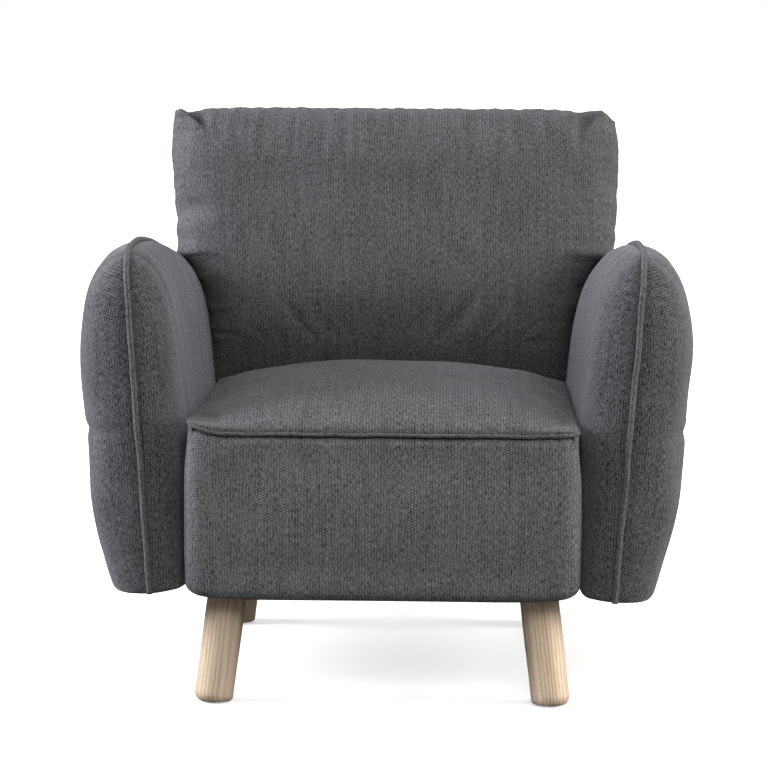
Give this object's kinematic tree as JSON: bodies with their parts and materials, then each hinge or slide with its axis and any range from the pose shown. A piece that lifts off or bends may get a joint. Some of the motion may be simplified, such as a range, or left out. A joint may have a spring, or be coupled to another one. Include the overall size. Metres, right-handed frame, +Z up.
{
  "type": "upholstered armchair",
  "caption": "Lounge armchair with a domed tight seat, pillow-shaped piped arms, a soft leaning back and splayed round wooden legs.",
  "frame": {"origin": "on the floor, under the middle of the chair's bounding box", "axes": "+Z up, the front of the chair faces -Y, +X to the viewer's right when the chair is seen from the front"},
  "size_m": [0.8878, 0.8186, 0.8369],
  "materials": {
    "leg_wood": "satin",
    "frame_timber": "matte",
    "steel": "satin",
    "glide_felt": "matte",
    "spring_felt": "matte",
    "dust_cloth": "matte",
    "upholstery": "matte",
    "piping": "matte",
    "foam": "matte",
    "wadding": "matte",
    "webbing": "matte"
  },
  "bodies": {
    "root": {"leg_front_left": "leg_wood", "hanger_bolt_front_left": "steel", "glide_front_left": "glide_felt", "corner_block_front_left": "frame_timber", "leg_front_right": "leg_wood", "hanger_bolt_front_right": "steel", "glide_front_right": "glide_felt", "corner_block_front_right": "frame_timber", "leg_rear_left": "leg_wood", "hanger_bolt_rear_left": "steel", "glide_rear_left": "glide_felt", "corner_block_rear_left": "frame_timber", "leg_rear_right": "leg_wood", "hanger_bolt_rear_right": "steel", "glide_rear_right": "glide_felt", "corner_block_rear_right": "frame_timber", "seat_rail_front": "frame_timber", "seat_rail_rear": "frame_timber", "seat_rail_left": "frame_timber", "seat_rail_right": "frame_timber", "back_post_left": "frame_timber", "back_post_right": "frame_timber", "back_top_board": "frame_timber", "back_lower_rail": "frame_timber", "seat_spring_1": "steel", "seat_spring_2": "steel", "seat_spring_3": "steel", "seat_spring_4": "steel", "seat_spring_5": "steel", "spring_pad": "spring_felt", "dust_cover": "dust_cloth", "seat_front_cover": "upholstery", "seat_front_pad": "foam", "seat_foam": "foam", "seat_top_cover": "upholstery", "seat_piping": "piping", "arm_left_panel": "frame_timber", "arm_left_batten": "frame_timber", "arm_left_pad": "foam", "arm_left_inside_cover": "upholstery", "arm_left_outside_cover": "upholstery", "arm_left_piping": "piping", "arm_left_bolt_front": "steel", "arm_left_bolt_rear": "steel", "arm_right_panel": "frame_timber", "arm_right_batten": "frame_timber", "arm_right_pad": "foam", "arm_right_inside_cover": "upholstery", "arm_right_outside_cover": "upholstery", "arm_right_piping": "piping", "arm_right_bolt_front": "steel", "arm_right_bolt_rear": "steel", "back_webbing_1": "webbing", "back_webbing_2": "webbing", "back_webbing_3": "webbing", "back_cushion_filling": "wadding", "back_cushion_cover": "upholstery", "outside_back_cover": "upholstery"}
  },
  "joints": []
}
